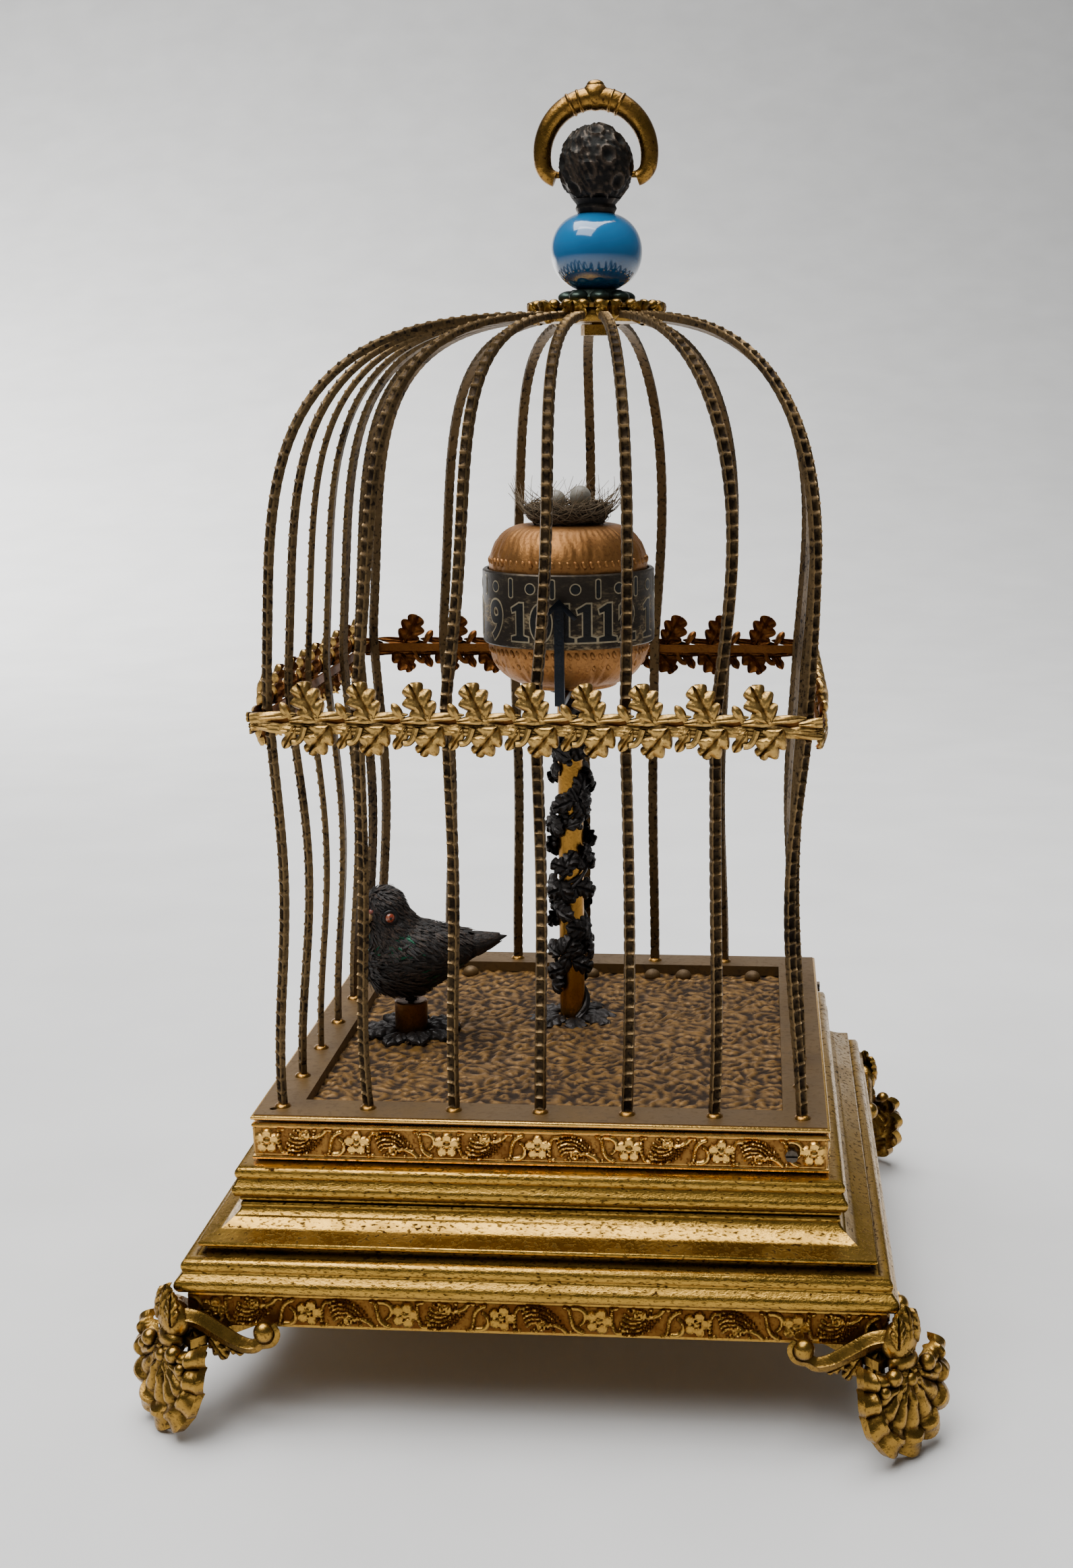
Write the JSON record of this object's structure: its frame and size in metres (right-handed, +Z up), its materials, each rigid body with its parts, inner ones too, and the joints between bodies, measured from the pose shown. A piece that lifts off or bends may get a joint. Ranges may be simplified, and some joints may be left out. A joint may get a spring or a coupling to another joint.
{
  "type": "singing bird automaton",
  "caption": "Square gilt birdcage timepiece on a stepped base with scroll feet: a feathered bird on a perch, and a globe whose numeral band turns past a fixed arrow.",
  "frame": {"origin": "on the surface that the feet stand on, under the middle of the square base", "axes": "+Z up; -Y is the front with the fixed arrow; +X is to the right as seen from the front"},
  "size_m": [0.1058, 0.1058, 0.171],
  "materials": {
    "gilt_brass": "worn bright gilding with dark wax in the hollows",
    "old_gilt": "dull brown-gold gilding",
    "bar_brass": "brown tarnished brass with some green",
    "dusty_brass": "brown, dusty and embossed",
    "copper_gilt": "coppery gilding, embossed",
    "gunmetal": "dark dull gunmetal with light plain numbers",
    "blued_steel": "blued steel",
    "dark_bronze": "dark bronze patina",
    "green_bronze": "green-black patina",
    "blue_opaline": "glossy opaque blue glass",
    "dark_steel": "dark slotted screw steel",
    "clock_brass": "plain movement brass",
    "clock_steel": "plain movement steel",
    "nest_fibre": "brown plant fibres",
    "egg_white": "off-white, slightly glossy",
    "bird_feather": "near-black feathers with a green sheen",
    "beak_horn": "cream horn",
    "eye_glass": "glossy orange-red glass",
    "bellows_leather": "thin soft leather",
    "bellows_wood": "plain dark wood"
  },
  "bodies": {
    "cage": {"base_shell": "gilt_brass", "rim_plate": "dusty_brass", "floor_plate": "dusty_brass", "upper_frieze": "gilt_brass", "lower_frieze": "gilt_brass", "bottom_plate": "old_gilt", "foot_front_right": "gilt_brass", "foot_back_right": "gilt_brass", "foot_back_left": "gilt_brass", "foot_front_left": "gilt_brass", "case_screw_front": "dark_steel", "case_screw_right": "dark_steel", "corner_bar_front_left": "bar_brass", "corner_bar_front_right": "bar_brass", "corner_bar_back_left": "bar_brass", "corner_bar_back_right": "bar_brass", "side_bars_front": "bar_brass", "side_bars_right": "bar_brass", "side_bars_back": "bar_brass", "side_bars_left": "bar_brass", "leaf_belt": "gilt_brass", "crown_plate": "gilt_brass", "petal_collar": "green_bronze", "opaline_bead": "blue_opaline", "filigree_bead": "dark_bronze", "crown_spindle": "old_gilt", "post_tube": "gilt_brass", "post_vine": "dark_bronze", "pointer": "blued_steel", "perch_tube": "old_gilt", "perch_leaves": "dark_bronze", "movement_lower_plate": "clock_brass", "movement_upper_plate": "clock_brass", "bellows_leather": "bellows_leather", "whistle_tube": "clock_brass"},
    "dial": {"dial_arbor": "clock_steel", "dial_bowl": "copper_gilt", "hour_band": "gunmetal", "dial_cap": "copper_gilt", "nest": "nest_fibre", "egg_left": "egg_white", "egg_right": "egg_white", "hour_wheel": "clock_brass", "set_knob": "gilt_brass"},
    "barrel": {"mainspring_barrel": "clock_brass"},
    "key": {"winding_key": "clock_steel"},
    "third": {"third_wheel": "clock_brass"},
    "escape": {"escape_wheel": "clock_brass"},
    "cam": {"cam_wheel": "clock_brass"},
    "balance": {"balance_wheel": "clock_brass"},
    "bird": {"bird_rod": "clock_steel", "bird_body": "bird_feather", "bird_eye_left": "eye_glass", "bird_eye_right": "eye_glass", "bird_upper_beak": "beak_horn"},
    "beak": {"bird_lower_beak": "beak_horn"},
    "tail": {"bird_tail": "bird_feather"},
    "bow_ring": {"bow": "gilt_brass"},
    "bellows": {"bellows_board": "bellows_wood"},
    "piston": {"whistle_piston": "clock_steel"}
  },
  "joints": [
    {"name": "barrel_spin", "type": "hinge", "parent": "cage", "child": "barrel", "pos_m": [0.01699, -0.00234, 0.025], "axis": [0, 0, 1], "continuous": true},
    {"name": "dial_spin", "type": "hinge", "parent": "cage", "child": "dial", "pos_m": [0, 0.01, 0.1], "axis": [0, 0, 1], "continuous": true},
    {"name": "third_spin", "type": "hinge", "parent": "cage", "child": "third", "pos_m": [-0.006, 0.02039, 0.025], "axis": [0, 0, 1], "continuous": true},
    {"name": "escape_spin", "type": "hinge", "parent": "cage", "child": "escape", "pos_m": [-0.0165, 0.02039, 0.025], "axis": [0, 0, 1], "continuous": true},
    {"name": "cam_spin", "type": "hinge", "parent": "cage", "child": "cam", "pos_m": [-0.00013, -0.00791, 0.025], "axis": [0, 0, 1], "continuous": true},
    {"name": "key_wind", "type": "hinge", "parent": "cage", "child": "key", "pos_m": [0.01699, -0.00234, 0.01], "axis": [0, 0, 1], "continuous": true},
    {"name": "balance_swing", "type": "hinge", "parent": "cage", "child": "balance", "pos_m": [-0.0215, 0.0115, 0.024], "axis": [0, 0, 1], "range_deg": [-100, 100], "stiffness_Nm_per_rad": 0.000002},
    {"name": "bird_turn", "type": "hinge", "parent": "cage", "child": "bird", "pos_m": [-0.0231, 0.001, 0.0424], "axis": [0, 0, 1], "range_deg": [-30, 30]},
    {"name": "tail_flick", "type": "hinge", "parent": "bird", "child": "tail", "pos_m": [-0.0142, 0.00289, 0.05044], "axis": [0.2079, -0.9781, 0], "range_deg": [0, 8]},
    {"name": "beak_open", "type": "hinge", "parent": "bird", "child": "beak", "pos_m": [-0.02832, -0.00203, 0.05402], "axis": [0.788, -0.6157, 0], "range_deg": [0, 12]},
    {"name": "bow_swing", "type": "hinge", "parent": "cage", "child": "bow_ring", "pos_m": [0.0052, 0, 0.1588], "axis": [1, 0, 0], "range_deg": [-90, 90]},
    {"name": "bellows_stroke", "type": "slide", "parent": "cage", "child": "bellows", "axis": [0, 0, 1], "range_m": [-0.002, 0.0015], "deforming": ["bellows_leather"]},
    {"name": "piston_slide", "type": "slide", "parent": "cage", "child": "piston", "axis": [-1, 0, 0], "range_m": [0, 0.003]}
  ],
  "couplings": [
    {"joint": "dial_spin", "follows": "barrel_spin", "ratio": -1.3333},
    {"joint": "third_spin", "follows": "barrel_spin", "ratio": 4},
    {"joint": "escape_spin", "follows": "barrel_spin", "ratio": -10},
    {"joint": "cam_spin", "follows": "barrel_spin", "ratio": -2},
    {"joint": "beak_open", "follows": "tail_flick", "ratio": 1.5}
  ]
}
